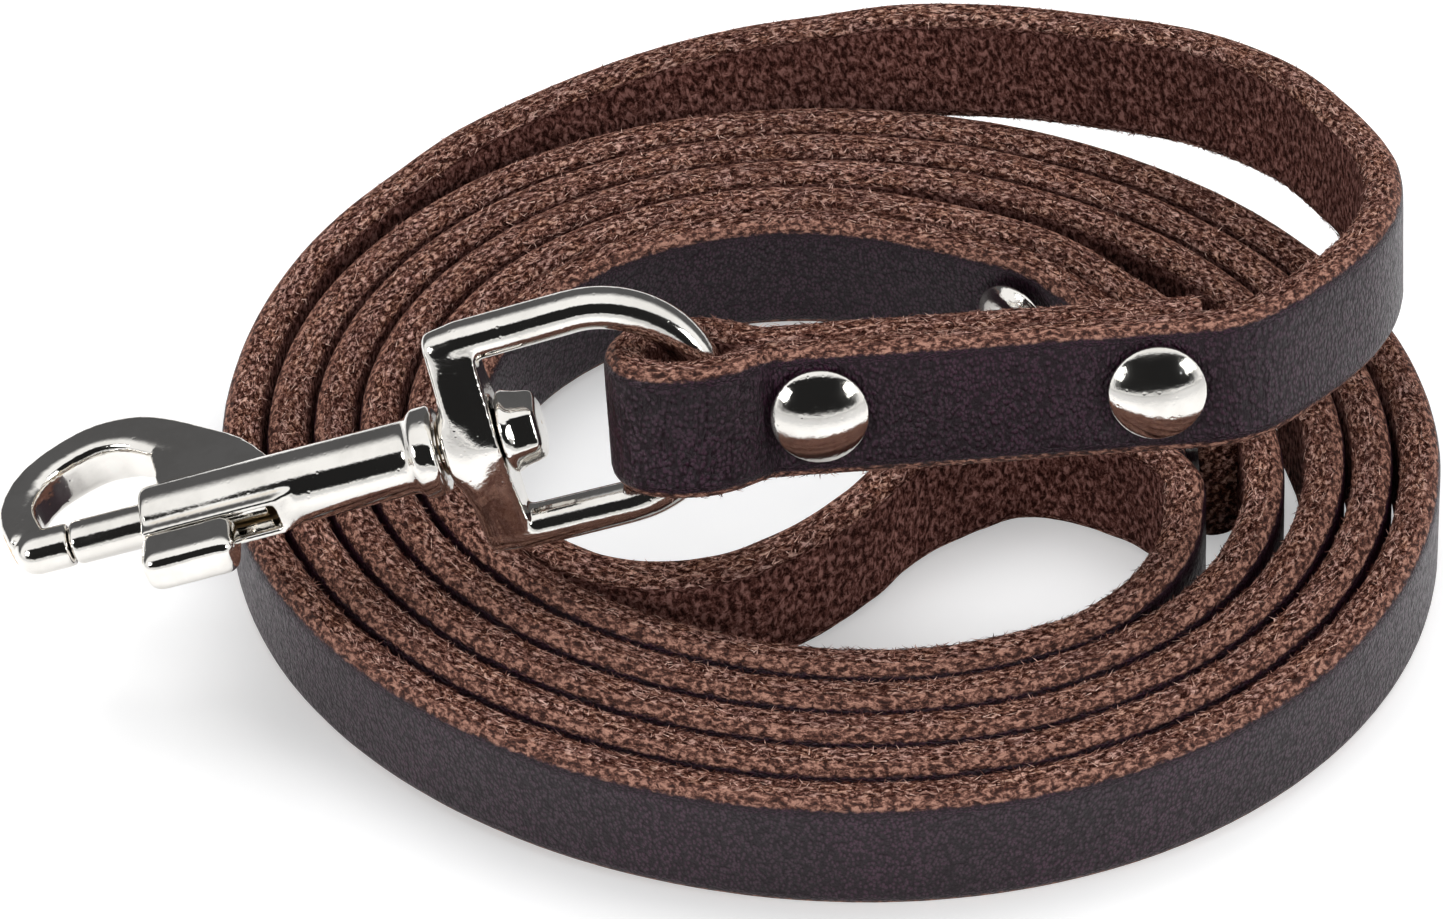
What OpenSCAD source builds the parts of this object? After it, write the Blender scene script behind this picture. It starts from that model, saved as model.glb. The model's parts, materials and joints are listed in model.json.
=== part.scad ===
// Leather training leash, coiled on its edge, with a riveted swivel bolt snap.
// Millimetres. The floor is z = 0 and the origin lies under the middle of the outline.

/* [Strap] */
// Width of the strap
strap_w = 12.7; // [10:0.1:16]
// Thickness of the leather
strap_t = 3.8; // [3:0.1:3.9]
// Bevel along the four edges of the strap
edge_bevel = 0.5; // [0.2:0.1:1]

/* [Coil] */
// Mean radius of the outermost turn, at the middle of the leather
coil_r = 55; // [53:0.1:57]
// Radial step from one turn to the next
coil_pitch = 4.45; // [4.4:0.05:4.7]
// How far the oval of the coil departs from a circle
coil_oval = 3.2; // [0:0.1:4]
// Direction of the oval's long axis, in degrees
coil_oval_dir = 152; // [140:1:165]

/* [Rivets] */
// Diameter of a rivet cap
cap_d = 9; // [7:0.1:10]
// Height of a cap's dome above its rim
cap_dome = 1.5; // [1:0.1:2]
// Height of a back cap's dome above its rim
back_dome = 0.8; // [0.6:0.1:0.9]
// Height of a cap's rim
cap_rim = 0.4; // [0.3:0.1:0.8]
// Diameter of a rivet post
post_d = 2.9; // [2:0.1:3.5]
// Distance between the two rivets of a pair
rivet_step = 30.5; // [24:0.5:32]
// Gap between two riveted layers of leather
layer_gap = 0.2; // [0.1:0.05:0.4]

/* [Swivel eye] */
// Diameter of the eye's bar
eye_bar_d = 4; // [3:0.1:4.2]
// Radius of the eye's round end, at the middle of the bar
eye_r = 9.9; // [9.7:0.1:10.5]
// From the swivel seat to the middle of the bar at the round end
eye_reach = 25.1; // [24.6:0.1:25.4]
// Spread of each leg of the eye, in degrees
eye_spread = 1; // [0:0.5:8]
// Diameter of the boss round the swivel hole
eye_boss_d = 7.6; // [6:0.1:8]
// Thickness of the eye's base along the swivel axis
eye_base_t = 4.6; // [3.6:0.1:5]
// How far the boss stands out towards the barrel
eye_boss_out = 1; // [0.8:0.1:2]

/* [Bolt snap] */
// Diameter of the barrel
barrel_d = 6.9; // [6.6:0.1:7.4]
// Length of the barrel, collar included
barrel_l = 28.5; // [28:0.1:32]
// Diameter of the collar at the swivel end
collar_d = 8.5; // [7.5:0.1:9]
// Length of the collar
collar_l = 2.6; // [2:0.1:4]
// Diameter of the sliding bolt
bolt_d = 4.1; // [3.6:0.1:4.2]
// Opening between the barrel and the nose of the hook
mouth = 7.4; // [7:0.1:8]
// Travel of the bolt
bolt_travel = 7; // [5:0.1:7]
// Height of the hook's ring above the swivel axis
hook_h = 12; // [11:0.1:12.2]
// Reach of the hook past the barrel, at the middle of its bar
hook_reach = 12.8; // [12.4:0.1:13.4]
// Thickness of the hook across its plane
hook_t = 5; // [4.4:0.1:5.2]
// Length of the thumb knob
knob_l = 9; // [7:0.1:9.2]
// Width of the thumb knob
knob_w = 4.2; // [4:0.1:5]
// Distance of the knob's top from the swivel axis
knob_top = 8.2; // [7:0.1:8.4]

/* [Hidden] */
$fn = 64;

leather = "#3d2522";
nickel = "#c9c6c0";
UP = [0, 0, 1];

// Running and seating clearances
run_gap = 0.05;
seat_gap = 0.05;
swivel_gap = 0.15;
past = 1;

// Middle of the whole outline, moved onto the origin
middle = [0.11, -1.05, 0];
// Place of the coil's middle on the floor
coil_mid = [10.9, -3];
// The coil is counted in degrees: left 180, front 270, right 360, and so on inwards
coil_from = 165;
coil_to = 1402.5;
wind_to = 1735;
ring_step = 7.5;
degrees_per_turn = 360;

// The inner end lies back along the last turn, riveted to it beside the caps
tail_from = 207;
tail_to = -11;
tail_turn = 4 * degrees_per_turn;
rivet_room = back_dome + cap_rim + 0.35 - coil_pitch + strap_t;
room_from = 1395;
room_full = 1428;
room_last = 1502;
room_to = 1535;
dip = 1.6;
dip_from = 1415;
dip_full = 1450;
dip_last = 1470;
dip_to = 1492;
handle_rivet_mid = 23;
handle_rivet_r = 35.6;

// The riveted stretch at the snap: place of the first rivet and lean of the strap
clip_rivet = [9, -22.3, 30];
clip_lean = 16;
layer_step = strap_t + layer_gap;

// Half the room between the layers where the eye's bar lies
bar_room = eye_bar_d / 2 + 1.4;
fold_out = bar_room + strap_t / 2;
bar_mid = -layer_step / 2;
fold_tip = -17.2;

// Centre line of the fold: along the strap from the first rivet, and out of its face
fold_route = [
    [35.2, -layer_step], [29, -layer_step], [22, -layer_step], [14, -layer_step],
    [7, -layer_step], [1, -layer_step], [-2.5, -layer_step], [-4.8, -layer_step],
    [-6.6, bar_mid - 0.58 * fold_out], [-8.6, bar_mid - 0.86 * fold_out], [-11, bar_mid - fold_out],
    [-13.8, bar_mid - 0.95 * fold_out], [-15.8, bar_mid - 0.74 * fold_out],
    [-16.9, bar_mid - 0.4 * fold_out], [fold_tip, bar_mid], [-16.9, bar_mid + 0.4 * fold_out],
    [-15.8, bar_mid + 0.74 * fold_out], [-13.8, bar_mid + 0.95 * fold_out], [-11, bar_mid + fold_out],
    [-8.6, bar_mid + 0.86 * fold_out], [-6.6, bar_mid + 0.58 * fold_out], [-4.8, 0],
    [-2.5, 0], [1, 0], [7, 0], [14, 0], [22, 0], [29, 0], [33, 0], [35.6, 0]
];

// Centre line of the lead from the rivets to the coil: x, y, middle height, lean
lead_route = [
    [47.4, -21.7, 30, 16], [50.3, -19.9, 29.8, 16], [53.3, -17.1, 29.4, 15.5], [56.6, -13.4, 28.7, 15],
    [59.9, -8.8, 27.9, 13.5], [62.3, -3.6, 26.8, 11.5], [63.7, 2.6, 25.3, 10], [63.8, 9.8, 24, 8],
    [61.4, 19.6, 22.2, 5], [57.3, 28.6, 20.9, 3], [49.7, 37.3, 19.3, 1],
    [40.4, 43.6, 17.6, 0], [31.2, 48.2, 16.4, 0], [22, 51.2, 15.2, 0], [13.5, 52.6, 13.6, 0],
    [5, 53, 12.5, 0], [-5, 52, 11, 0], [-15, 49, 9.5, 0], [-23, 45, 8.5, 0],
    [-29.5, 40, 7.5, 0], [-35, 34.5, 7, 0], [-39.5, 28, 6.6, 0], [-43, 20, 6.4, 0]
];

// Centre line of the handle between the coil and its riveted tail, on the floor: x, y.
// The places are given for one coil radius, and move in and out with the coil.
handle_route_r = 55;
handle_route = [
    [31, -34.5], [35.5, -31.5], [39, -27.5], [41.5, -23], [42.5, -18.5], [43, -14.5],
    [41.6, -11.3], [39.3, -8.6], [36.6, -6.6], [34, -5], [31, -3.8], [27.5, -3.5],
    [23.5, -5], [19, -7.5], [15.5, -10.5], [12.5, -14], [8, -18], [4, -20.5],
    [0, -22.3], [-4.5, -22.9], [-8.5, -22.5], [-12, -21.3], [-14.6, -19.6]
];

// Place and attitude of the snap: the swivel axis runs along its own x, the hook at -x
clip_pitch = 12.9;
clip_yaw = 0.6;
eye_lean = 14;
snap_roll = 90;
bar_place = -9.8;
eye_lift = 2.6;

// Sizes inside the snap, along the swivel axis from the swivel seat
barrel_front = -barrel_l;
nose_x = barrel_front - mouth;
bore_d = bolt_d + 2 * run_gap;
bolt_inside = 11.5;
bolt_tail = barrel_front + bolt_inside;
plug_l = 6;
pin_d = bore_d - 0.04;
pin_hole_d = pin_d + 2 * run_gap + 0.04;
head_x = eye_boss_out + eye_base_t + swivel_gap;
neck_d = 2.4;
neck_inside = 4.2;
neck_x = barrel_front + neck_inside;
slot_w = neck_d + 0.4;
slot_front = neck_x - slot_w / 2;
slot_back = neck_x + bolt_travel + slot_w / 2;
pad_w = knob_w;
pad_top = barrel_d / 2 + 0.4;
pad_ramp = 1.8;
spring_d = bore_d - 0.9;
spring_wire = 0.5;
spring_turns = 6;

function unit(v) = v / norm(v);
function ramp(x, a, b) = let (t = min(max((x - a) / (b - a), 0), 1)) t * t * (3 - 2 * t);
function bend(a, b, c, d, t) =
    b + 0.5 * t * (c - a + t * (2 * a - 5 * b + 4 * c - d + t * (3 * (b - c) + d - a)));
function smooth(p, n, first, last) = [
    for (i = [first : last - 1]) for (j = [0 : n - 1])
        bend(p[max(i - 1, 0)], p[i], p[i + 1], p[min(i + 2, len(p) - 1)], j / n)
];

// Radius of the coil's centre line at an angle, with room for the rivet caps near its end
function rivet_shift(a) =
    rivet_room * ramp(a, room_from, room_full) * (1 - ramp(a, room_last, room_to))
    + dip * ramp(a, dip_from, dip_full) * (1 - ramp(a, dip_last, dip_to));
function wind_r(a) =
    coil_r - coil_pitch * (a - coil_from) / degrees_per_turn
    + coil_oval * cos(2 * (a - coil_oval_dir)) - rivet_shift(a);
function tail_r(a) = wind_r(a + tail_turn) - layer_step;
function on_floor(p) = [p.x, p.y, strap_w / 2, 0];
function wind_at(a) = on_floor(coil_mid + wind_r(a) * [cos(a), sin(a)]);
function tail_at(a) = on_floor(coil_mid + tail_r(a) * [cos(a), sin(a)]);
function handle_at(p) = on_floor(p + (coil_r - handle_route_r) * unit(p - coil_mid));

// Axes of the riveted stretch: along the strap, across its width, out of its face
clip_w = [0, sin(clip_lean), cos(clip_lean)];
clip_n = [0, -cos(clip_lean), sin(clip_lean)];
function on_fold(p) = let (q = clip_rivet + p.x * [1, 0, 0] + p.y * clip_n) [q.x, q.y, q.z, clip_lean];

// One route for the whole strap, from its folded end at the snap to its end at the handle
lead_marks = concat(
    [for (p = fold_route) on_fold(p)], lead_route, [wind_at(coil_from), wind_at(coil_from + ring_step)]
);
lead_line = smooth(lead_marks, 2, 0, len(lead_marks) - 2);
coil_line = [for (a = [coil_from : ring_step : coil_to]) wind_at(a)];
last_wind = [for (a = [coil_to + ring_step : ring_step : wind_to - ring_step]) wind_at(a)];
loop_marks = concat(
    [wind_at(wind_to - ring_step), wind_at(wind_to)], [for (p = handle_route) handle_at(p)],
    [tail_at(tail_from), tail_at(tail_from - ring_step)]
);
loop_line = smooth(loop_marks, 2, 1, len(loop_marks) - 2);
tail_line = [for (a = [tail_from : -ring_step : tail_to]) tail_at(a)];
strap_line = concat(lead_line, coil_line, last_wind, loop_line, tail_line);
lead_end = len(lead_line);
coil_end = lead_end + len(coil_line) - 1;
strap_end = len(strap_line) - 1;

function place(i) = [for (k = [0 : 2]) strap_line[i][k]];
function along(i) = unit(place(min(i + 1, strap_end)) - place(max(i - 1, 0)));
function across(i) =
    let (u = [0, sin(strap_line[i][3]), cos(strap_line[i][3])], t = along(i)) unit(u - (u * t) * t);

// Outline of the strap's section: out of the grain face, and across the width
half_t = strap_t / 2;
half_w = strap_w / 2;
section = [
    [half_t, half_w - edge_bevel], [half_t - edge_bevel, half_w],
    [edge_bevel - half_t, half_w], [-half_t, half_w - edge_bevel],
    [-half_t, edge_bevel - half_w], [edge_bevel - half_t, -half_w],
    [half_t - edge_bevel, -half_w], [half_t, edge_bevel - half_w]
];
function ring(i) =
    let (w = across(i), n = cross(along(i), w), c = place(i)) [for (s = section) c + s.x * n + s.y * w];

// A closed skin over rings of equal size
module skin(rings) {
    k = len(rings[0]);
    last = len(rings) - 1;
    sides = [
        for (i = [0 : last - 1]) for (j = [0 : k - 1])
            let (a = i * k + j, b = i * k + (j + 1) % k)
                each [[a, b, b + k], [a, b + k, a + k]]
    ];
    start = [for (j = [1 : k - 2]) [0, j + 1, j]];
    end = [for (j = [1 : k - 2]) [last * k, last * k + j, last * k + j + 1]];
    polyhedron([for (r = rings) each r], concat(sides, start, end), convexity = 10);
}

module strap(first, last) {
    translate(-middle) skin([for (i = [first : last]) ring(i)]);
}

// Least gap between two turns of the coil, measured on the rings
turn_rings = degrees_per_turn / ring_step;
turn_gaps = [
    for (i = [lead_end : coil_end - turn_rings])
        norm(place(i) - place(i + turn_rings)) * abs(cross(along(i), UP) * unit(place(i) - place(i + turn_rings)))
        - strap_t
];
echo(least_gap_between_turns = min(turn_gaps));
echo(strap_length = [for (i = [0 : strap_end - 1]) norm(place(i + 1) - place(i))] * [for (i = [1 : strap_end]) 1]);

// Turns a shape made along z so that z points along a direction and x stays near a side
module facing(spot, dir, side) {
    at = spot - middle;
    z = unit(dir);
    y = unit(cross(z, side));
    x = cross(y, z);
    multmatrix([
        [x.x, y.x, z.x, at.x], [x.y, y.y, z.y, at.y], [x.z, y.z, z.z, at.z], [0, 0, 0, 1]
    ])
        children();
}

// Rivet pairs: at the snap along the straight strap, at the handle round the last turn
module at_clip_rivets() {
    for (u = [0, rivet_step]) facing(clip_rivet + [u, 0, 0], clip_n, [1, 0, 0]) children();
}

handle_half_step = rivet_step / handle_rivet_r * 90 / PI;
function wind_slope(a) = unit(wind_at(a + tail_turn + 0.5) - wind_at(a + tail_turn - 0.5));
module at_handle_rivets() {
    for (a = [handle_rivet_mid - handle_half_step, handle_rivet_mid + handle_half_step]) {
        p = tail_at(a);
        t = wind_slope(a);
        facing([p.x, p.y, p.z], [-t.y, t.x, 0], [t.x, t.y, 0]) children();
    }
}

// A domed cap: its flat back is z = 0
dome_sides = 240;
module cap(dome) {
    ball_r = ((cap_d / 2) ^ 2 + dome ^ 2) / (2 * dome);
    cylinder(d = cap_d, h = cap_rim);
    translate([0, 0, cap_rim])
        intersection() {
            translate([0, 0, dome - ball_r]) sphere(r = ball_r, $fn = dome_sides);
            cylinder(d = cap_d, h = dome + past);
        }
}

socket_depth = cap_rim + back_dome - 0.5;
module post_cap(lift, stack) {
    translate([0, 0, half_t + lift]) cap(cap_dome);
    translate([0, 0, half_t + lift - stack - socket_depth + seat_gap])
        cylinder(d = post_d, h = stack + socket_depth);
}

module socket_cap(lift, stack) {
    translate([0, 0, half_t + lift - stack])
        mirror(UP)
            difference() {
                cap(back_dome);
                translate([0, 0, -past]) cylinder(d = post_d + 2 * run_gap, h = past + socket_depth);
            }
}

stack_clip = 2 * strap_t + layer_gap + 2 * seat_gap;
cap_sag = (cap_d / 2) ^ 2 / (2 * handle_rivet_r - 4 * strap_t) + 8 * seat_gap;
stack_handle = 2 * strap_t + layer_gap + cap_sag + 3 * seat_gap;

module rivet_hole() {
    reach = 4 * strap_t;
    translate([0, 0, -reach]) cylinder(d = post_d + 4 * run_gap, h = 2 * reach);
}

module strap_lead() {
    color(leather)
        difference() {
            strap(0, lead_end);
            at_clip_rivets() rivet_hole();
        }
}

module strap_coil() {
    color(leather) strap(lead_end, coil_end);
}

module strap_handle() {
    color(leather)
        difference() {
            strap(coil_end, strap_end);
            at_handle_rivets() rivet_hole();
        }
}

module clip_rivet_caps() {
    color(nickel) at_clip_rivets() post_cap(seat_gap, stack_clip);
}

module clip_rivet_backs() {
    color(nickel) at_clip_rivets() socket_cap(seat_gap, stack_clip);
}

module handle_rivet_caps() {
    color(nickel) at_handle_rivets() post_cap(cap_sag, stack_handle);
}

module handle_rivet_backs() {
    color(nickel) at_handle_rivets() socket_cap(cap_sag, stack_handle);
}

// The snap's frame: its origin is the swivel seat between the barrel and the eye
clip_axis = [cos(clip_pitch) * cos(clip_yaw), cos(clip_pitch) * sin(clip_yaw), sin(clip_pitch)];
bar_at = clip_rivet + bar_place * [1, 0, 0] + bar_mid * clip_n + eye_lift * clip_w;
clip_seat = bar_at - eye_reach * clip_axis;

module in_clip(roll) {
    translate(clip_seat - middle) rotate([-roll, -clip_pitch, clip_yaw]) children();
}

module along_x() {
    rotate([0, 90, 0]) children();
}

// Stirrup eye: round end, spread legs, and a base with a boss for the swivel pin
module swivel_eye() {
    mid = eye_reach - eye_r;
    base_mid = eye_boss_out + eye_base_t / 2;
    leg_x = mid - eye_r * sin(eye_spread);
    base_half = eye_r * cos(eye_spread) - (leg_x - base_mid) * tan(eye_spread);
    leg_l = (leg_x - base_mid) / cos(eye_spread);
    lap = 1.5;
    step = 0.06;
    base_end_d = eye_bar_d - 4 * step;
    color(nickel)
        in_clip(eye_lean)
            difference() {
                union() {
                    translate([mid, 0, 0])
                        rotate([90, 0, 0])
                            rotate([0, 0, -90 - eye_spread - lap])
                                rotate_extrude(angle = 180 + 2 * (eye_spread + lap))
                                    translate([eye_r, 0]) circle(d = eye_bar_d - step);
                    for (s = [-1, 1]) {
                        translate([base_mid, 0, s * base_half]) {
                            rotate([0, 90 - s * eye_spread, 0]) cylinder(d = eye_bar_d, h = leg_l);
                            sphere(d = eye_bar_d + step);
                        }
                    }
                    translate([eye_boss_out, 0, 0])
                        along_x()
                            linear_extrude(eye_base_t)
                                hull() {
                                    circle(d = eye_boss_d);
                                    for (s = [-1, 1]) translate([s * base_half, 0]) circle(d = base_end_d);
                                }
                    along_x() cylinder(d = eye_boss_d, h = eye_boss_out + eye_base_t);
                }
                translate([-past, 0, 0])
                    along_x() cylinder(d = pin_hole_d, h = eye_boss_out + eye_base_t + 2 * past);
            }
}

// Headed pin that closes the barrel and carries the eye
module swivel_stud() {
    flange_t = 1;
    head_l = 2.6;
    flange_d = eye_boss_d + 0.4;
    head_d = eye_boss_d;
    head_taper = 0.8;
    six = 6;
    color(nickel)
        in_clip(snap_roll)
            along_x() {
                translate([0, 0, -plug_l]) cylinder(d = pin_d, h = plug_l + head_x + flange_t);
                translate([0, 0, head_x])
                    cylinder(d = flange_d, h = flange_t);
                translate([0, 0, head_x + flange_t])
                    cylinder(d1 = head_d, d2 = head_d - head_taper, h = head_l, $fn = six);
            }
}

// Hook: stations along its bar as distance past the barrel, height above the axis,
// half width in the hook's plane and half thickness
hook_half = hook_t / 2;
hook_marks = [
    [-11.6, 2.4, 1.2, 0.66 * hook_half], [-8.25, 5.8, 2.1, 0.74 * hook_half], [-4.3, 8.4, 2.5, 0.84 * hook_half],
    [-0.8, 0.9 * hook_h, 2.45, 0.92 * hook_half], [2, hook_h, 2.3, 0.97 * hook_half],
    [5.95, 0.99 * hook_h, 2.05, hook_half], [hook_reach - 2.1, 0.75 * hook_h, 1.8, hook_half],
    [hook_reach - 0.3, 0.4 * hook_h, 1.8, 0.92 * hook_half], [hook_reach - 1.4, 0.06 * hook_h, 1.8, 0.78 * hook_half]
];
// Web that fills the corner between the hook's bar and the barrel
web_marks = [[-11.1, 2.6], [-10.3, 4.6], [-7.7, 7.4], [-3.7, 9.6], [-0.6, 7.6], [-1.2, 4.6], [-1.4, 2.6]];
hook_sides = 24;
function full(x) = sign(x) * abs(x) ^ 0.45;
module hook_bar() {
    line = concat(smooth(hook_marks, 3, 0, len(hook_marks) - 1), [hook_marks[len(hook_marks) - 1]]);
    last = len(line) - 1;
    skin([
        for (i = [0 : last])
            let (a = line[max(i - 1, 0)], b = line[min(i + 1, last)], m = line[i],
                t = unit([a.x - b.x, 0, b.y - a.y]), n = [-t.z, 0, t.x])
                [for (j = [0 : hook_sides - 1]) let (q = degrees_per_turn * j / hook_sides)
                    [barrel_front - m.x, 0, m.y] + m.z * full(cos(q)) * n + m[3] * full(sin(q)) * [0, 1, 0]]
    ]);
}

module barrel() {
    r = barrel_d / 2;
    c = collar_d / 2;
    soft = 0.4;
    along_x()
        rotate_extrude()
            polygon([
                [0, barrel_front], [r - soft, barrel_front], [r, barrel_front + soft],
                [r, -collar_l - soft], [c - soft, -collar_l], [c, soft - collar_l],
                [c, -soft - swivel_gap], [c - soft, -swivel_gap], [0, -swivel_gap]
            ]);
}

module snap_body() {
    nose_d = bolt_d;
    nose_l = hook_reach - mouth - 2;
    web_t = 0.8 * hook_t;
    color(nickel)
        in_clip(snap_roll)
            difference() {
                union() {
                    barrel();
                    hook_bar();
                    translate([0, web_t / 2, 0])
                        rotate([90, 0, 0])
                            linear_extrude(web_t)
                                polygon([for (p = web_marks) [barrel_front - p.x, p.y]]);
                    translate([nose_x - nose_l, 0, 0]) along_x() cylinder(d = nose_d, h = nose_l);
                    translate([nose_x - nose_l, 0, 0]) sphere(d = nose_d);
                    translate([0, pad_w / 2, 0])
                        rotate([90, 0, 0])
                            linear_extrude(pad_w)
                                polygon([
                                    [barrel_front, 0], [barrel_front, -pad_top], [slot_back, -pad_top],
                                    [slot_back + pad_ramp, -barrel_d / 2 + 0.3], [slot_back + pad_ramp, 0]
                                ]);
                }
                translate([barrel_front - mouth / 2, 0, 0])
                    along_x() cylinder(d = bore_d, h = barrel_l + mouth);
                translate([slot_front, -slot_w / 2, -pad_top - past])
                    cube([slot_back - slot_front, slot_w, pad_top + past]);
            }
}

module sliding_bolt() {
    tip = 0.5;
    color(nickel)
        in_clip(snap_roll)
            difference() {
                along_x()
                    rotate_extrude()
                        polygon([
                            [0, nose_x + 2 * run_gap], [bolt_d / 2 - tip, nose_x + 2 * run_gap],
                            [bolt_d / 2, nose_x + tip], [bolt_d / 2, bolt_tail], [0, bolt_tail]
                        ]);
                translate([neck_x, 0, -bolt_d]) cylinder(d = neck_d + 0.04, h = bolt_d);
            }
}

module thumb_knob() {
    round_r = 1.4;
    knob_base = -pad_top - swivel_gap;
    knob_ahead = 4.4;
    knob_from = neck_x - knob_ahead;
    color(nickel)
        in_clip(snap_roll) {
            hull()
                for (x = [knob_from + round_r, knob_from + knob_l - round_r], s = [-1, 1]) {
                    translate([x, s * (knob_w / 2 - round_r), round_r - knob_top]) sphere(r = round_r, $fn = 24);
                    translate([x, s * (knob_w / 2 - round_r), knob_base - 0.6]) cylinder(r = round_r, h = 0.6, $fn = 24);
                }
            translate([neck_x, 0, knob_base - 1]) cylinder(d = neck_d, h = 1 - knob_base - 0.3);
        }
}

// Spring behind the bolt: one wire, straight and square to its two seats
module bolt_spring() {
    steps = 12;
    sides = 6;
    room = -plug_l - bolt_tail;
    lift = room - 2 * seat_gap - spring_wire;
    r = (spring_d - spring_wire) / 2;
    color(nickel)
        in_clip(snap_roll)
            skin([
                for (i = [0 : spring_turns * steps])
                    let (a = degrees_per_turn * i / steps, f = i / (spring_turns * steps),
                        x = bolt_tail + seat_gap + spring_wire / 2 + lift * f)
                        [for (j = [0 : sides - 1]) let (q = degrees_per_turn * j / sides)
                            [x + spring_wire / 2 * sin(q), (r + spring_wire / 2 * cos(q)) * cos(a),
                                (r + spring_wire / 2 * cos(q)) * sin(a)]]
            ]);
}

strap_lead();
strap_coil();
strap_handle();
clip_rivet_caps();
clip_rivet_backs();
handle_rivet_caps();
handle_rivet_backs();
swivel_eye();
swivel_stud();
snap_body();
sliding_bolt();
thumb_knob();
bolt_spring();
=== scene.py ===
# %% [markdown]
# A leather training leash, wound up and standing on its edge, with a nickel bolt snap.
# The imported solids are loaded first: they are the fixed frame that every piece here is fitted to.

# %% Load the frame
import json
import math
import random

import bmesh
import bpy
from mathutils import Matrix, Vector, noise


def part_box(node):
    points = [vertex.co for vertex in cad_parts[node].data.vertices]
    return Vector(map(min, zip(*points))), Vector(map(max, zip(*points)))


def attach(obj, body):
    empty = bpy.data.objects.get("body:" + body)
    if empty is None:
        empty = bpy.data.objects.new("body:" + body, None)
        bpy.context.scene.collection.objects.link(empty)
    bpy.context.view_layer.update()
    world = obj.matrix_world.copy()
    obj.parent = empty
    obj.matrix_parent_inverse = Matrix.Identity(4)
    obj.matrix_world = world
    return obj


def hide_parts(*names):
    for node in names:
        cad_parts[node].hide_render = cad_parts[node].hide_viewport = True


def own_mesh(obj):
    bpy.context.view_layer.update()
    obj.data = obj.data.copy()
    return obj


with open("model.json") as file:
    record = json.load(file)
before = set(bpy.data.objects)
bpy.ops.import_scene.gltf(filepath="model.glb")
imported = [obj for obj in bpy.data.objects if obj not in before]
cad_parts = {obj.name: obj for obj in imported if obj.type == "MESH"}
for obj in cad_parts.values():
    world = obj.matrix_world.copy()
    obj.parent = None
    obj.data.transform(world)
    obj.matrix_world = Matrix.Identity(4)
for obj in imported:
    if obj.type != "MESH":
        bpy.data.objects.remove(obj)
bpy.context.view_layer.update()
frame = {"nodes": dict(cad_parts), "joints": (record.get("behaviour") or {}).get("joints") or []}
MM = 0.001


def add_object(name, data):
    """Puts a mesh, a lamp or a camera into the scene."""
    thing = bpy.data.objects.new(name, data)
    bpy.context.scene.collection.objects.link(thing)
    return thing


# %% [markdown]
# The camera stands in front of the leash and looks down on it at about 40 degrees, through a long
# lens. A camera's matrix holds its right, up and backward directions as columns, so a small roll
# is a turn of the first two about the line of sight.

# %% The camera
PHOTO_W = 1445
LENS_PX = 5500
SENSOR_W = 36
LOOK_DOWN = math.radians(39.5)
ROLL = math.radians(-4)
DISTANCE = 539.4 * MM
NEAREST = 10 * MM
AIM = Vector((-0.11, 8.65, 0)) * MM

sight = Vector((0, math.cos(LOOK_DOWN), -math.sin(LOOK_DOWN)))
level_right = Vector((1, 0, 0))
level_up = Vector((0, math.sin(LOOK_DOWN), math.cos(LOOK_DOWN)))
right = math.cos(ROLL) * level_right + math.sin(ROLL) * level_up
up = -math.sin(ROLL) * level_right + math.cos(ROLL) * level_up
turn = Matrix((right, up, -sight)).transposed().to_4x4()

lens = bpy.data.cameras.new("camera")
lens.sensor_fit = "HORIZONTAL"
lens.sensor_width = SENSOR_W
lens.lens = SENSOR_W * LENS_PX / PHOTO_W
lens.clip_start = NEAREST
camera = add_object("camera", lens)
camera.matrix_world = Matrix.Translation(AIM - DISTANCE * sight) @ turn
bpy.context.scene.camera = camera
print("lens in mm:", round(lens.lens, 1))

# %% [markdown]
# The strap is one length of leather. It starts at the folded end on the snap, leans out over the
# coil, winds inwards, makes the hand loop and ends beside the last turn. The route is the one the
# solids follow, so its sizes are theirs, in millimetres and degrees.

# %% The strap's sizes
STRAP_W, STRAP_T = 12.7, 3.8
HALF_W, HALF_T = STRAP_W / 2, STRAP_T / 2
LAYER_GAP = 0.2
LAYER_STEP = STRAP_T + LAYER_GAP
MIDDLE = Vector((0.11, -1.05, 0))
COIL_R, COIL_PITCH, COIL_OVAL, COIL_OVAL_DIR = 55, 4.45, 3.2, 152
COIL_MID = Vector((10.9, -3))
COIL_FROM, WIND_TO = 165, 1735
TAIL_FROM, TAIL_TO, TAIL_TURN = 207, -11, 1440
BACK_DOME, CAP_RIM, CAP_PLAY = 0.8, 0.4, 0.35
RIVET_ROOM = BACK_DOME + CAP_RIM + CAP_PLAY - COIL_PITCH + STRAP_T
ROOM_FROM, ROOM_FULL, ROOM_LAST, ROOM_TO = 1395, 1428, 1502, 1535
DIP, DIP_FROM, DIP_FULL, DIP_LAST, DIP_TO = 1.6, 1415, 1450, 1470, 1492
CLIP_RIVET = Vector((9, -22.3, 30))
CLIP_LEAN = math.radians(16)
CLIP_N = Vector((0, -math.cos(CLIP_LEAN), math.sin(CLIP_LEAN)))
EYE_BAR_D, EYE_PLAY = 4, 1.4
FOLD_OUT = EYE_BAR_D / 2 + EYE_PLAY + HALF_T
BAR_MID = -LAYER_STEP / 2
print("leather in mm:", STRAP_W, "by", STRAP_T)

# %% [markdown]
# Where the strap lies freely, its places are listed. At the fold they are given along and
# out of the leaning front layer, and the fold's two halves mirror each other about the eye's bar. The
# lead's places also say how far the strap leans there. The hand loop stands upright on the floor.

# %% The places given one by one
BACK_LAYER = (35.2, 29, 22, 14, 7, 1, -2.5, -4.8)
FOLD_BEND = [(-6.6, 0.58), (-8.6, 0.86), (-11, 1), (-13.8, 0.95), (-15.8, 0.74), (-16.9, 0.4)]
FOLD_END = -17.2
FRONT_LAYER = (-4.8, -2.5, 1, 7, 14, 22, 29, 33, 35.6)

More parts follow.
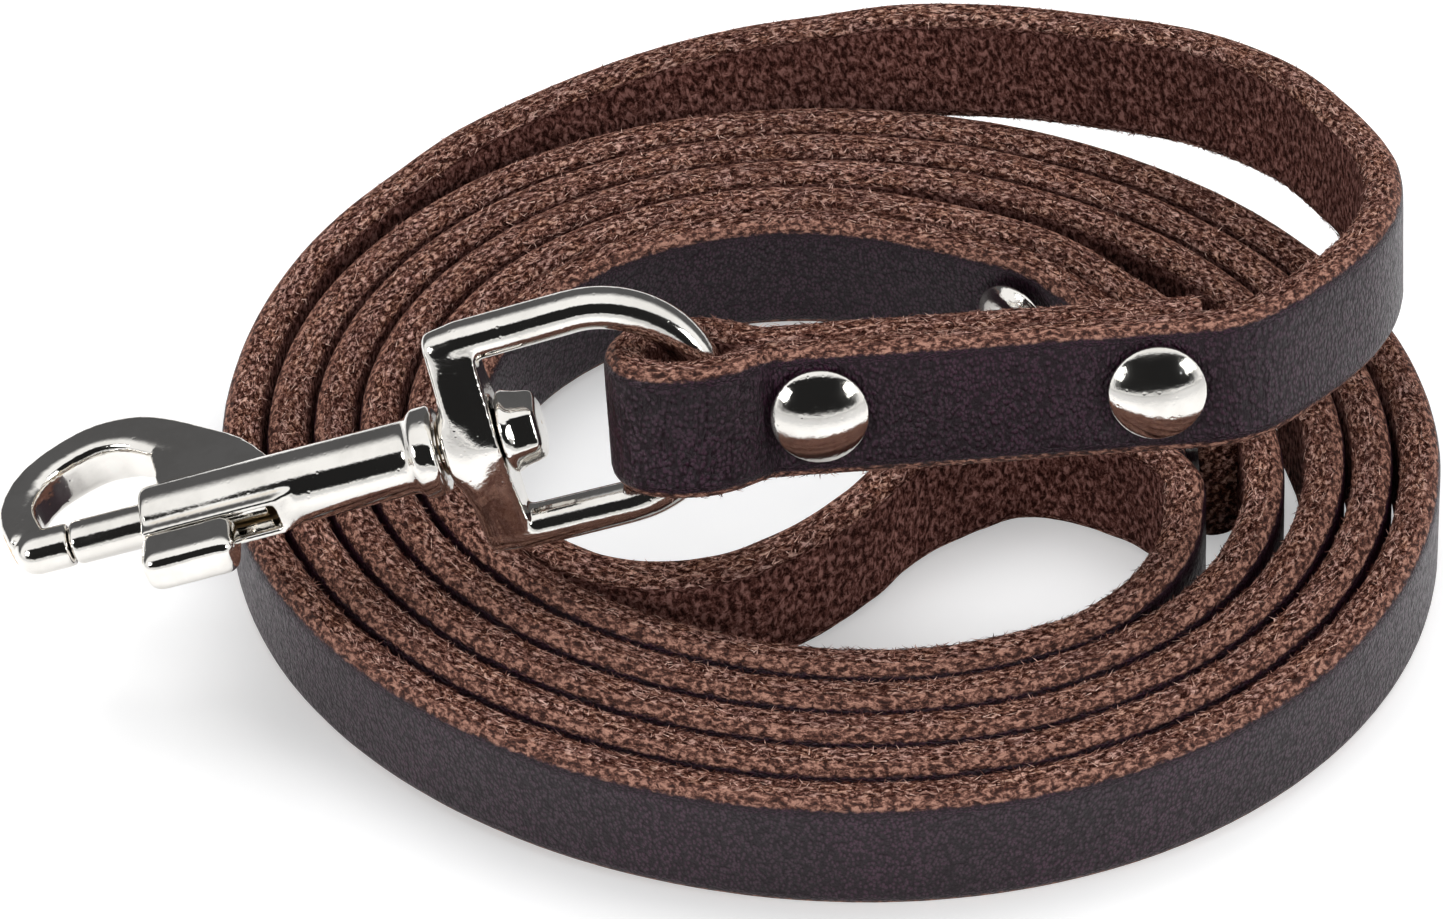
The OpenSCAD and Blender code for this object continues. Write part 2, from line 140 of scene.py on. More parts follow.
FOLD_ROUTE = [(x, -LAYER_STEP) for x in BACK_LAYER]
FOLD_ROUTE += [(x, BAR_MID - share * FOLD_OUT) for x, share in FOLD_BEND]
FOLD_ROUTE += [(FOLD_END, BAR_MID)]
FOLD_ROUTE += [(x, BAR_MID + share * FOLD_OUT) for x, share in reversed(FOLD_BEND)]
FOLD_ROUTE += [(x, 0) for x in FRONT_LAYER]
LEAD_ROUTE = [
    (47.4, -21.7, 30, 16), (50.3, -19.9, 29.8, 16), (53.3, -17.1, 29.4, 15.5),
    (56.6, -13.4, 28.7, 15), (59.9, -8.8, 27.9, 13.5), (62.3, -3.6, 26.8, 11.5),
    (63.7, 2.6, 25.3, 10), (63.8, 9.8, 24, 8), (61.4, 19.6, 22.2, 5),
    (57.3, 28.6, 20.9, 3), (49.7, 37.3, 19.3, 1), (40.4, 43.6, 17.6, 0),
    (31.2, 48.2, 16.4, 0), (22, 51.2, 15.2, 0), (13.5, 52.6, 13.6, 0),
    (5, 53, 12.5, 0), (-5, 52, 11, 0), (-15, 49, 9.5, 0), (-23, 45, 8.5, 0),
    (-29.5, 40, 7.5, 0), (-35, 34.5, 7, 0), (-39.5, 28, 6.6, 0), (-43, 20, 6.4, 0),
]
HANDLE_ROUTE = [
    (31, -34.5), (35.5, -31.5), (39, -27.5), (41.5, -23), (42.5, -18.5), (43, -14.5),
    (41.6, -11.3), (39.3, -8.6), (36.6, -6.6), (34, -5), (31, -3.8), (27.5, -3.5),
    (23.5, -5), (19, -7.5), (15.5, -10.5), (12.5, -14), (8, -18), (4, -20.5),
    (0, -22.3), (-4.5, -22.9), (-8.5, -22.5), (-12, -21.3), (-14.6, -19.6),
]
print("places by hand:", len(FOLD_ROUTE) + len(LEAD_ROUTE) + len(HANDLE_ROUTE))

# %% [markdown]
# The coil is a spiral, a little oval, so a formula gives its places. Each place on the route has four
# numbers: where it is, and how far the strap leans there. Near the end of the coil the spiral draws
# in, to leave room for the hand loop's rivets.

# %% The coil's formula
def ramp(x, low, high):
    t = min(max((x - low) / (high - low), 0), 1)
    return t * t * (3 - 2 * t)


def wind_r(a):
    """Radius of the coil's middle line at an angle, with room for the rivets near its end."""
    room = RIVET_ROOM * ramp(a, ROOM_FROM, ROOM_FULL) * (1 - ramp(a, ROOM_LAST, ROOM_TO))
    room += DIP * ramp(a, DIP_FROM, DIP_FULL) * (1 - ramp(a, DIP_LAST, DIP_TO))
    oval = COIL_OVAL * math.cos(math.radians(2 * (a - COIL_OVAL_DIR)))
    return COIL_R - COIL_PITCH * (a - COIL_FROM) / 360 + oval - room


def upright(x, y):
    return Vector((x, y, HALF_W, 0))


def round_at(a, r):
    q = math.radians(a)
    return upright(COIL_MID.x + r * math.cos(q), COIL_MID.y + r * math.sin(q))


def wind_at(a):
    return round_at(a, wind_r(a))


def tail_at(a):
    """The strap's turned-back end lies one layer inside the coil's last turn."""
    return round_at(a, wind_r(a + TAIL_TURN) - LAYER_STEP)


def on_fold(p):
    q = CLIP_RIVET + Vector((p[0], 0, 0)) + p[1] * CLIP_N
    return Vector((q.x, q.y, q.z, math.degrees(CLIP_LEAN)))


print("coil radius in mm, first and last:", round(wind_r(COIL_FROM), 1), round(wind_r(WIND_TO), 1))

# %% [markdown]
# The places are joined by a smooth curve. It could be a Blender curve object, but the section's
# corners and texture need the line itself, so it is worked out: each step is a cubic between two
# places, which also looks at the one before and the one after.

# %% One line through all the places
STEPS = 8
TURN_STEP, JOIN_TURN = 2.5, 7.5


def smooth(marks, steps, first, last):
    line = []
    for i in range(first, last):
        a, b = marks[max(i - 1, 0)], marks[i]
        c, d = marks[i + 1], marks[min(i + 2, len(marks) - 1)]
        for j in range(steps):
            t = j / steps
            cubic = 3 * (b - c) + d - a
            square = 2 * a - 5 * b + 4 * c - d + t * cubic
            line.append(b + 0.5 * t * (c - a + t * square))
    return line


lead_marks = [on_fold(p) for p in FOLD_ROUTE] + [Vector(p) for p in LEAD_ROUTE]
lead_marks += [wind_at(COIL_FROM), wind_at(COIL_FROM + JOIN_TURN)]
loop_marks = [wind_at(WIND_TO - JOIN_TURN), wind_at(WIND_TO)]
loop_marks += [upright(x, y) for x, y in HANDLE_ROUTE]
loop_marks += [tail_at(TAIL_FROM), tail_at(TAIL_FROM - JOIN_TURN)]
coil_steps = int((WIND_TO - COIL_FROM) / TURN_STEP)
tail_steps = int((TAIL_FROM - TAIL_TO) / TURN_STEP) + 1

route = smooth(lead_marks, STEPS, 0, len(lead_marks) - 2)
route += [wind_at(COIL_FROM + TURN_STEP * i) for i in range(coil_steps)]
route += smooth(loop_marks, STEPS, 1, len(loop_marks) - 2)
route += [tail_at(TAIL_FROM - TURN_STEP * i) for i in range(tail_steps)]
print("places on the route:", len(route))

# %% [markdown]
# The solids were sized on a coarser line, so the finer line is cut again into even steps. Each step
# carries three directions: along the strap, across its width, and out of its grain side.

# %% Even stations along the strap
STATION = 1
TINY = 1e-9


def gap_between(a, b):
    return (b.to_3d() - a.to_3d()).length


def even_steps(line, step):
    spots, left = [line[0].copy()], step
    for a, b in zip(line, line[1:]):
        span = gap_between(a, b)
        while span > TINY and left <= span:
            spots.append(a + (b - a) * (left / span))
            left += step
        left -= span
    return spots


stations = even_steps(route, STATION)
last_station = len(stations) - 1
middle_line = [s.to_3d() - MIDDLE for s in stations]
directions = []
for i, s in enumerate(stations):
    before, after = stations[max(i - 1, 0)], stations[min(i + 1, last_station)]
    along = (after.to_3d() - before.to_3d()).normalized()
    lean = math.radians(s.w)
    across = Vector((0, math.sin(lean), math.cos(lean)))
    across = (across - across.dot(along) * along).normalized()
    directions.append((along, across, along.cross(across)))
strap_length = sum(gap_between(a, b) for a, b in zip(stations, stations[1:]))
print("stations:", len(stations), "length in mm:", round(strap_length))

# %% [markdown]
# Each stretch of the strap is bent by a different amount, and the fold round the eye most of all. The
# bend is measured here, because the leather's creases will follow it. The rivets press the leather
# in, so the middles of their caps and backs are read from the solids too.

# %% How much the strap bends, and where the rivets sit
BEND_SPAN = 3
RIVETS = ("clip_rivet_caps", "clip_rivet_backs", "handle_rivet_caps", "handle_rivet_backs")

bends = []
for i in range(len(stations)):
    before, after = max(i - BEND_SPAN, 0), min(i + BEND_SPAN, last_station)
    turned = (directions[after][0] - directions[before][0]).length
    bends.append(turned / ((after - before) * STATION))


def middles(node):
    """The middles, in mm, of the two alike pieces that a node holds."""
    spots = [v.co / MM for v in frame["nodes"][node].data.vertices]
    low, high = (Vector(corner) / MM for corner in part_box(node))
    k = max(range(3), key=lambda axis: high[axis] - low[axis])
    cut = (low[k] + high[k]) / 2
    halves = [s for s in spots if s[k] < cut], [s for s in spots if s[k] >= cut]
    return [sum(half, Vector()) / len(half) for half in halves]


rivet_middles = [middle for node in RIVETS for middle in middles(node)]
print("tightest bend, radius in mm:", round(1 / max(bends), 1), "rivet ends:", len(rivet_middles))

# %% [markdown]
# The section of the strap is a rectangle with rounded corners and crowned edges. The grain side's
# corners were bevelled and rubbed smooth, so they are wide, and the flesh side's are only worn. Its
# places could come from a bevelled square, but they also carry the texture, so they are arcs and
# straight runs worked out in order.

# %% The strap's section
GRAIN_CORNER, FLESH_CORNER = 1.15, 1.0
EDGE_CROWN, CROWN_REACH = 0.4, 1
CORNER_STEPS, WIDTH_STEPS, EDGE_STEPS = 4, 8, 4


def rounded_section():
    """Places round the section as (out of the grain side, across the width)."""
    w = HALF_W - EDGE_CROWN
    corners = [
        (HALF_T, w, GRAIN_CORNER, 0), (-HALF_T, w, FLESH_CORNER, 90),
        (-HALF_T, -w, FLESH_CORNER, 180), (HALF_T, -w, GRAIN_CORNER, 270),
    ]
    arcs = []
    for x, y, r, start in corners:
        turns = [math.radians(start + 90 * j / CORNER_STEPS) for j in range(CORNER_STEPS + 1)]
        middle = Vector((x - math.copysign(r, x), y - math.copysign(r, y)))
        arcs.append([middle + r * Vector((math.cos(q), math.sin(q))) for q in turns])
    places = []
    for k, arc in enumerate(arcs):
        parts = EDGE_STEPS if k % 2 == 0 else WIDTH_STEPS
        goal = arcs[(k + 1) % len(arcs)][0]
        places += arc + [arc[-1].lerp(goal, j / parts) for j in range(1, parts)]
    for p in places:
        crown = EDGE_CROWN * (1 - (p.x / HALF_T) ** 2) * ramp(abs(p.y), w - CROWN_REACH, w)
        p.y += math.copysign(crown, p.y)
    return places


section = rounded_section()
girth = sum((b - a).length for a, b in zip(section, section[1:] + section[:1]))
print("places round the section:", len(section), "girth in mm:", round(girth, 1))

# %% [markdown]
# The strap starts as a flat grid of cells, one row of cells for each station. The grid is one
# operator, and its own flat coordinates become the texture coordinates, in metres of leather. Each
# cell is told which leather it shows: the dyed grain, the flesh, or the cut edge, which reaches a
# little way up the grain side's corner.

# %% The strap as a flat grid
GRAIN, CUT_EDGE, FLESH = 0, 1, 2
EDGE_OVER = 0.2
GRID_HALF = 0.5


def face_kind(place):
    if place.x > HALF_T - GRAIN_CORNER + EDGE_OVER:
        return GRAIN
    return CUT_EDGE if abs(place.y) > HALF_W - FLESH_CORNER else FLESH


rows, sides = last_station, len(section)
bm = bmesh.new()
uv = bm.loops.layers.uv.new("leather")
across_layer = bm.verts.layers.float.new("across")
out_layer = bm.verts.layers.float.new("out")
bend_layer = bm.verts.layers.float.new("bend")
bmesh.ops.create_grid(bm, x_segments=rows, y_segments=sides, size=GRID_HALF)
for face in bm.faces:
    for loop in face.loops:
        x, y = loop.vert.co.x + GRID_HALF, loop.vert.co.y + GRID_HALF
        loop[uv].uv = (x * strap_length * MM, y * girth * MM)
    j = int((face.calc_center_median().y + GRID_HALF) * sides)
    face.material_index = face_kind(section[j].lerp(section[(j + 1) % sides], 0.5))
    face.smooth = True
print("cells:", len(bm.faces))

# %% [markdown]
# Then the grid is rolled round the section. Leather is never quite even: it waves a little along its
# length, it is rough to the touch, more so where it is raw, and a rivet presses it in. Three values
# are kept on each vertex for the materials: the place across and out of the strap, and the bend.

# %% Rolling the grid round the section
PRESS_DEPTH, PRESS_FROM, PRESS_TO, PRESS_REACH = 0.3, 4.3, 6.6, 3
WAVE_LONG, WAVE_THICK, WAVE_WIDE = 9, 3, 30
WAVE_OUT, WAVE_ACROSS = 0.04, 0.05
ROUGH_LONG, ROUGH_ASIDE = 2.3, 40
ROUGH_RAW, ROUGH_GRAIN = 0.07, 0.02


def pressed(spot, out):
    """How far a rivet presses the leather in at this place."""
    depth = 0
    for middle in rivet_middles:
        gap = spot - middle
        if gap.length < PRESS_TO + PRESS_REACH and abs(gap.dot(out)) < PRESS_REACH:
            flat = (gap - gap.dot(out) * out).length
            depth = max(depth, PRESS_DEPTH * (1 - ramp(flat, PRESS_FROM, PRESS_TO)))
    return depth


def leather_spot(i, s):
    """Where the leather is, in mm, at a station and a place round the section."""
    across, out = directions[i][1:]
    wave = noise.noise(Vector((i * STATION / WAVE_LONG, s.x / WAVE_THICK, s.y / WAVE_WIDE)))
    rough = noise.noise(Vector((i * STATION / ROUGH_LONG, s.x, s.y + ROUGH_ASIDE)))
    fuzzy = ROUGH_GRAIN if face_kind(s) == GRAIN else ROUGH_RAW
    spot = middle_line[i] + (s.x + WAVE_OUT * wave) * out + (s.y + WAVE_ACROSS * wave) * across
    spot += fuzzy * rough * (s.x / HALF_T * out + s.y / HALF_W * across)
    if s.x > 0:
        spot -= pressed(spot, out) * out
    spot.z = max(spot.z, 0)
    return spot


for vert in bm.verts:
    i = round((vert.co.x + GRID_HALF) * rows)
    s = section[round((vert.co.y + GRID_HALF) * sides) % sides]
    vert[across_layer], vert[out_layer], vert[bend_layer] = s.y, s.x, bends[i]
    vert.co = leather_spot(i, s) * MM
print("vertices rolled:", len(bm.verts))

# %% [markdown]
# The grid's two long sides now lie on each other, and merging them makes it a tube. The two open ends
# are filled, and they are the only faces with more than four corners. They were cut straight across,
# so they show raw leather too.

# %% Closing the strap
SEAM_GAP = 1e-7


def finished_mesh(name, bm):
    """Turns a bmesh into a mesh, and lets the bmesh go."""
    mesh = bpy.data.meshes.new(name)
    bm.to_mesh(mesh)
    bm.free()
    return mesh


bmesh.ops.remove_doubles(bm, verts=bm.verts, dist=SEAM_GAP)
bmesh.ops.holes_fill(bm, edges=[e for e in bm.edges if e.is_boundary], sides=0)
for face in bm.faces:
    if len(face.verts) > 4:
        face.material_index = CUT_EDGE
        for loop in face.loops:
            loop[uv].uv = (loop.vert[out_layer] * MM, loop.vert[across_layer] * MM)
bmesh.ops.recalc_face_normals(bm, faces=bm.faces)
strap_mesh = finished_mesh("leather_strap", bm)
strap = add_object("leather_strap", strap_mesh)
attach(strap, "strap")
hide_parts("strap_lead", "strap_coil", "strap_handle")
print("strap faces:", len(strap_mesh.polygons))

# %% [markdown]
# Single fibres stand out of a cut edge and fray its outline. Bump can't change an outline, so they are
# real strands. Most of them lie flat on an upper edge and a few rise, and some hang from the lower
# edge where the strap is off the floor. The numbers come from a seeded generator, so that every run
# gives the same fuzz, and each strand gets a shade of its own.

# %% One loose fibre
FIBRE_SEED = 11
FIBRE_LONG, FIBRE_WIDE, FIBRE_LIFT = (0.5, 1.3), (0.09, 0.16), (0.05, 0.45)
FIBRE_ROOT, FIBRE_BESIDE, FIBRE_THICK = 0.04, 0.6, 0.6
LIFT_POWER = 3
BELOW_SHARE, OFF_FLOOR = 0.12, 1

chance = random.Random(FIBRE_SEED)
edge_parts = [
    (a, b) for a, b in zip(section, section[1:])
    if a.y > 0 and face_kind(a.lerp(b, 0.5)) == CUT_EDGE
]
raised = [i for i in range(last_station) if stations[i].z > HALF_W + OFF_FLOOR]


def strand_on_edge():
    """One fibre: its root, its run, its two thicknesses and its shade."""
    below = chance.random() < BELOW_SHARE
    i = chance.choice(raised) if below else chance.randrange(last_station)
    along, across, out = directions[i]
    across = -across if below else across
    a, b = chance.choice(edge_parts)
    place, slope = a.lerp(b, chance.random()), (b - a).normalized()
    beside, away = slope.x * out + slope.y * across, slope.y * out - slope.x * across
    root = middle_line[i] + chance.random() * STATION * along
    root += place.x * out + place.y * across + FIBRE_ROOT * away
    turn, long = chance.uniform(0, 2 * math.pi), chance.uniform(*FIBRE_LONG)
    run = long * (math.cos(turn) * along + FIBRE_BESIDE * math.sin(turn) * beside)
    low, high = FIBRE_LIFT
    run += (low + (high - low) * chance.random() ** LIFT_POWER) * away
    wide = chance.uniform(*FIBRE_WIDE)
    flat = run.cross(away).normalized()
    thick = run.cross(flat).normalized()
    return root, run, wide * flat, FIBRE_THICK * wide * thick, chance.random()


print("edge runs for fibres:", len(edge_parts), "raised stations:", len(raised))

# %% [markdown]
# One three-sided spike, the fewest faces that close, is copied by doubling, and each copy is then laid
# where its own numbers say. The strands get a second map, which goes by shade one way and from root to
# tip the other, so that strands of one shade share one place.

# %% All the loose fibres
FIBRES = 2 ** 15
SPIKE_HALF = 0.5
BAKE_FROM, BAKE_SPAN, BAKE_SIDE = (0.02, 0.05), (0.95, 0.9), (0.01, 0.02)

bm = bmesh.new()
number_layer = bm.verts.layers.int.new("number")
bmesh.ops.create_cone(
    bm, cap_ends=True, segments=3, radius1=SPIKE_HALF, radius2=0, depth=2 * SPIKE_HALF,
)
count = 1
while count < FIBRES:
    copies = bmesh.ops.duplicate(bm, geom=bm.verts[:] + bm.edges[:] + bm.faces[:])["geom"]
    for part in copies:
        if isinstance(part, bmesh.types.BMVert):
            part[number_layer] += count
    count *= 2

strands = [strand_on_edge() for _ in range(FIBRES)]
shade_layer = bm.verts.layers.float.new("shade")
bake_map = bm.loops.layers.uv.new("OFBake")
for vert in bm.verts:
    root, run, flat, thick, shade = strands[vert[number_layer]]
    share = vert.co.z + SPIKE_HALF
    u = BAKE_FROM[0] + BAKE_SPAN[0] * shade + BAKE_SIDE[0] * vert.co.x
    v = BAKE_FROM[1] + BAKE_SPAN[1] * share + BAKE_SIDE[1] * vert.co.y
    for loop in vert.link_loops:
        loop[bake_map].uv = (u, v)
    vert[shade_layer] = shade
    vert.co = (root + share * run + vert.co.x * flat + vert.co.y * thick) * MM
bm.verts.layers.int.remove(number_layer)
fibre_mesh = finished_mesh("loose_fibres", bm)
loose_fibres = add_object("loose_fibres", fibre_mesh)
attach(loose_fibres, "strap")
print("fibres:", count, "faces:", len(fibre_mesh.polygons))

# %% [markdown]
# The metal is cast zinc with bright nickel on it. A casting has no sharp corner, and a bevel on every
# edge of a solid with cuts in it often breaks, so each solid's copy is meshed again in small even
# cells and smoothed. The eye's base is cast fuller than its solid, so its flat sides are swollen
# first, between the boss that the stud turns in and the two bars.

# %% Even cells, and a swollen base
SMOOTHING = 0.5
CORNER_GAP = 1e-6
BORE_REACH = 2.6
BASE_REACH, BASE_HALF, BASE_SWELL, SWELL_FROM = 4, 8, 0.4, 1

hinges = {joint["name"]: joint for joint in frame["joints"]}
swivel_mid = Vector(hinges["snap_swivel"]["pos_m"])
swivel_axis = Vector(hinges["snap_swivel"]["axis"]).normalized()


def evened_out(bm, verts, rounds):
    for _ in range(rounds):
        bmesh.ops.smooth_vert(
            bm, verts=verts, factor=SMOOTHING, use_axis_x=True, use_axis_y=True, use_axis_z=True,
        )


def in_even_cells(node, cell):
    """A new object for a copy of the solid, and the copy's bmesh, meshed again."""
    bm = bmesh.new()
    bm.from_mesh(frame["nodes"][node].data)
    bmesh.ops.remove_doubles(bm, verts=bm.verts, dist=CORNER_GAP)
    piece = add_object("cast_" + node, finished_mesh("cast_" + node, bm))
    cells = piece.modifiers.new("even_cells", "REMESH")
    cells.mode = "VOXEL"
    cells.voxel_size = cell * MM
    graph = bpy.context.evaluated_depsgraph_get()
    even = bpy.data.meshes.new_from_object(piece.evaluated_get(graph))
    piece.modifiers.clear()
    bm = bmesh.new()
    bm.from_mesh(even)
    bpy.data.meshes.remove(even)
    return piece, bm


def bulged(bm):
    """Swells the flat sides of the eye's base, between its boss and its two bars."""
    across = Vector(hinges["eye_swing"]["axis"]).normalized()
    outwards = swivel_axis.cross(across).normalized()
    for v in bm.verts:
        gap = (v.co - swivel_mid) / MM
        side, face = abs(gap.dot(across)), gap.dot(outwards)
        in_base = abs(gap.dot(swivel_axis)) < BASE_REACH and side < BASE_HALF
        if in_base and math.hypot(side, face) > BORE_REACH:
            swell = BASE_SWELL * math.sin(math.pi * side / BASE_HALF) ** 2
            v.co += math.copysign(swell * min(abs(face), SWELL_FROM), face) * MM * outwards


print("swivel middle in mm:", [round(v / MM, 1) for v in swivel_mid])

# %% [markdown]
# Smoothing fills hollows and wears corners down, and how far it would lift a place tells how deep in a
# hollow it lies. That is kept on the vertices, because the plating is thin and brassy in hollows. In
# the snap's bore, round the swivel, every inner wall counts as one.

# %% Castings from the solids
HOLLOW_ROUNDS = 8
IN_BORE = 0.05
CASTINGS = [  # solid, body, cell in mm, rounds of smoothing, and more rounds for the eye's base
    ("snap_body", "snap", 0.2, 8), ("swivel_stud", "snap", 0.15, 70),
    ("sliding_bolt", "bolt", 0.15, 4), ("thumb_knob", "bolt", 0.15, 24),
    ("swivel_eye", "eye", 0.2, 14, 110),
]
CASTINGS += [(node, "strap", 0.13, 3) for node in RIVETS]


def mark_hollows(bm, body):
    hollow_layer = bm.verts.layers.float.new("hollow")
    bm.normal_update()
    shape = [(v.co.copy(), v.normal.copy()) for v in bm.verts]
    evened_out(bm, bm.verts, HOLLOW_ROUNDS)
    for v, (place, normal) in zip(bm.verts, shape):
        gap = place - swivel_mid
        inwards = (gap - gap.dot(swivel_axis) * swivel_axis).dot(normal) < 0
        near = gap.cross(swivel_axis).length < BORE_REACH * MM
        in_bore = body == "snap" and inwards and near
        v[hollow_layer] = IN_BORE if in_bore else (v.co - place).dot(normal) / MM
        v.co = place


def cast_copy(node, body, cell, rounds, more=0):
    """A smoothed copy of a solid. The eye's base is swollen and gets more rounds."""
    piece, bm = in_even_cells(node, cell)
    if more:
        bulged(bm)
        reach = BASE_REACH * MM
        base = [v for v in bm.verts if abs((v.co - swivel_mid).dot(swivel_axis)) < reach]
        evened_out(bm, base, more)
    evened_out(bm, bm.verts, rounds)
    mark_hollows(bm, body)
    for face in bm.faces:
        face.smooth = True
    bm.to_mesh(piece.data)
    bm.free()
    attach(piece, body)
    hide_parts(node)
    print(piece.name, "faces:", len(piece.data.polygons))
    return piece


castings = [cast_copy(*row) for row in CASTINGS]

# %% [markdown]
# The spring behind the bolt is drawn wire and needs no smoothing. It shortens towards its fixed end as
# the bolt slides, but its copy here keeps the solid's shape and rides with the snap's body.

# %% The spring
spring_node = frame["nodes"]["bolt_spring"]
spring_mesh = spring_node.data.copy()
spring_mesh.transform(spring_node.matrix_world)
spring = add_object("bolt_spring_wire", spring_mesh)
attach(spring, "snap")
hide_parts("bolt_spring")
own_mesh(spring)

# %% [markdown]
# Materials are small trees of nodes. A few helpers keep the trees readable. The first adds a node with
# its inputs, which may be numbers or other nodes' outputs. The others name what is done most: sums,
# easing a value, mixing two colours, and a ramp of several.

# %% Helpers for values and colours
def put(tree, kind, inputs=None, **settings):
    node = tree.nodes.new(kind)
    for key, value in settings.items():
        setattr(node, key, value)
    for key, value in (inputs or {}).items():
        if isinstance(value, bpy.types.NodeSocket):
            tree.links.new(value, node.inputs[key])
        else:
            node.inputs[key].default_value = value
    return node


def reckon(tree, operation, *values):
    return put(tree, "ShaderNodeMath", dict(enumerate(values)), operation=operation).outputs[0]


def times(tree, a, b):
    return reckon(tree, "MULTIPLY", a, b)


def plus(tree, a, b):
    return reckon(tree, "ADD", a, b)


def spread(tree, value, low, high, start=0, end=1):
    """The value between low and high, as a share from start to end, eased at both ends."""
    spans = {"Value": value, "From Min": low, "From Max": high, "To Min": start, "To Max": end}
    return put(tree, "ShaderNodeMapRange", spans, interpolation_type="SMOOTHSTEP").outputs["Result"]


def tint(tree, share, a, b):
    """One colour turning into another. Each is a colour or an output."""
    full = [c if isinstance(c, bpy.types.NodeSocket) else (*c, 1) for c in (a, b)]
    inputs = {0: share, 6: full[0], 7: full[1]}
    return put(tree, "ShaderNodeMix", inputs, data_type="RGBA").outputs[2]


def stain(tree, colour, mask, most, other):
    """A colour with another over it, as strong as the mask times the most that shows."""
    return tint(tree, times(tree, mask, most), colour, other)


def shades(tree, value, stops):
    """Colours along a value, as (place, colour)."""
    node = put(tree, "ShaderNodeValToRGB", {"Fac": value})
    marks = node.color_ramp.elements
    while len(marks) < len(stops):
        marks.new(0.5)
    for mark, (place, colour) in zip(marks, stops):
        mark.position, mark.color = place, (*colour, 1)
    return node.outputs["Color"]


print("helpers for values and colours ready")

# %% [markdown]
# The leather's patterns follow the strap, so they read its own texture coordinates. The metal's and
# the floor's lie in space, so they read the object's. Values kept on the vertices come in by name.

# %% Helpers for patterns and materials
def on_leather(tree):
    return put(tree, "ShaderNodeUVMap", uv_map="leather").outputs["UV"]


def in_space(tree):
    return put(tree, "ShaderNodeTexCoord").outputs["Object"]


def vertex_value(tree, name):
    return put(tree, "ShaderNodeAttribute", attribute_name=name).outputs["Fac"]


def clouds(tree, place, scale, detail, roughness=0.5, distortion=0):
    """A noise, whose scale is the number of its lumps per metre."""
    inputs = {"Vector": place, "Scale": scale, "Detail": detail}
    inputs.update({"Roughness": roughness, "Distortion": distortion})
    return put(tree, "ShaderNodeTexNoise", inputs).outputs["Fac"]


def bump(tree, height, strength, depth_mm):
    inputs = {"Height": height, "Strength": strength, "Distance": depth_mm * MM}
    return put(tree, "ShaderNodeBump", inputs).outputs["Normal"]


def new_group(name, inputs, outputs):
    tree = bpy.data.node_groups.new(name, "ShaderNodeTree")
    for label, value in inputs.items():
        socket = tree.interface.new_socket(label, in_out="INPUT", socket_type="NodeSocketFloat")
        socket.default_value = value
    for label in outputs:
        tree.interface.new_socket(label, in_out="OUTPUT", socket_type="NodeSocketFloat")
    ends = tree.nodes.new("NodeGroupInput").outputs, tree.nodes.new("NodeGroupOutput").inputs
    return tree, *ends


def new_material(name, roughness, specular, metallic=0):
    material = bpy.data.materials.new(name)
    material.use_nodes = True
    shader = material.node_tree.nodes["Principled BSDF"]
    shader.inputs["Roughness"].default_value = roughness
    shader.inputs["Specular IOR Level"].default_value = specular
    shader.inputs["Metallic"].default_value = metallic
    return material, material.node_tree, shader.inputs


print("helpers for patterns and materials ready")

# %% [markdown]
# Cut leather is a felt of fibres. A noise gives it dark pits and pale tufts, and a second noise is cut
# to thin lines where it crosses its middle value, which gives the curly strands. The raw edge, the
# flesh side and the rubbed corner all use it, so it is a group.

# %% The leather's fibres
FELT_PER_METRE, STRAND_WIDTH = 1300, 0.022
FINER, NOISE_MIDDLE = 1.7, 0.5

felt_inputs = {"Per metre": FELT_PER_METRE, "Strand width": STRAND_WIDTH}
fibres, asked, given = new_group("leather_fibres", felt_inputs, ("Tone", "Strand", "Height"))
place = on_leather(fibres)
tufts = clouds(fibres, place, asked["Per metre"], detail=4, roughness=0.7, distortion=0.4)
fine = times(fibres, asked["Per metre"], FINER)
curls = clouds(fibres, place, fine, detail=2, distortion=1.6)
tone = spread(fibres, tufts, low=0.34, high=0.66)
off_middle = reckon(fibres, "ABSOLUTE", reckon(fibres, "SUBTRACT", curls, NOISE_MIDDLE))
strand = spread(fibres, off_middle, low=0, high=asked["Strand width"], start=1, end=0)
fibres.links.new(tone, given["Tone"])
fibres.links.new(strand, given["Strand"])
fibres.links.new(plus(fibres, tone, strand), given["Height"])


def leather_felt(tree, per_metre=FELT_PER_METRE):
    group = put(tree, "ShaderNodeGroup", node_tree=fibres)
    group.inputs["Per metre"].default_value = per_metre
    group.inputs["Strand width"].default_value = STRAND_WIDTH
    return group.outputs


print("group:", fibres.name)

# %% [markdown]
# The dye never takes evenly. A slow noise along the strap makes patches a few millimetres to a few
# centimetres long, and every face of the leather is lightened or darkened by it.

# %% The leather's patches
PATCHES_PER_METRE = 120

patches, asked, given = new_group("leather_patches", {"Per metre": PATCHES_PER_METRE}, ("Shade",))
slow = clouds(patches, on_leather(patches), asked["Per metre"], detail=3, roughness=0.55)
patches.links.new(spread(patches, slow, low=0.3, high=0.7), given["Shade"])


def leather_patch(tree, per_metre):
    group = put(tree, "ShaderNodeGroup", node_tree=patches)
    group.inputs["Per metre"].default_value = per_metre
    return group.outputs["Shade"]


print("group:", patches.name)

# %% [markdown]
# The flesh side is the inside of the hide: dull, reddish brown and open, with dark pits. A mix of two
# colours would lose the pits, so the felt's tone runs through a ramp of four. Pale strands and dark
# patches are laid over it.

# %% The flesh side
FLESH_TONES = [
    (0.12, (0.025, 0.006, 0.004)), (0.35, (0.13, 0.046, 0.036)),
    (0.65, (0.29, 0.118, 0.096)), (0.9, (0.52, 0.26, 0.22)),
]
FLESH_STRAND, FLESH_DARK = (0.46, 0.23, 0.19), (0.05, 0.019, 0.016)

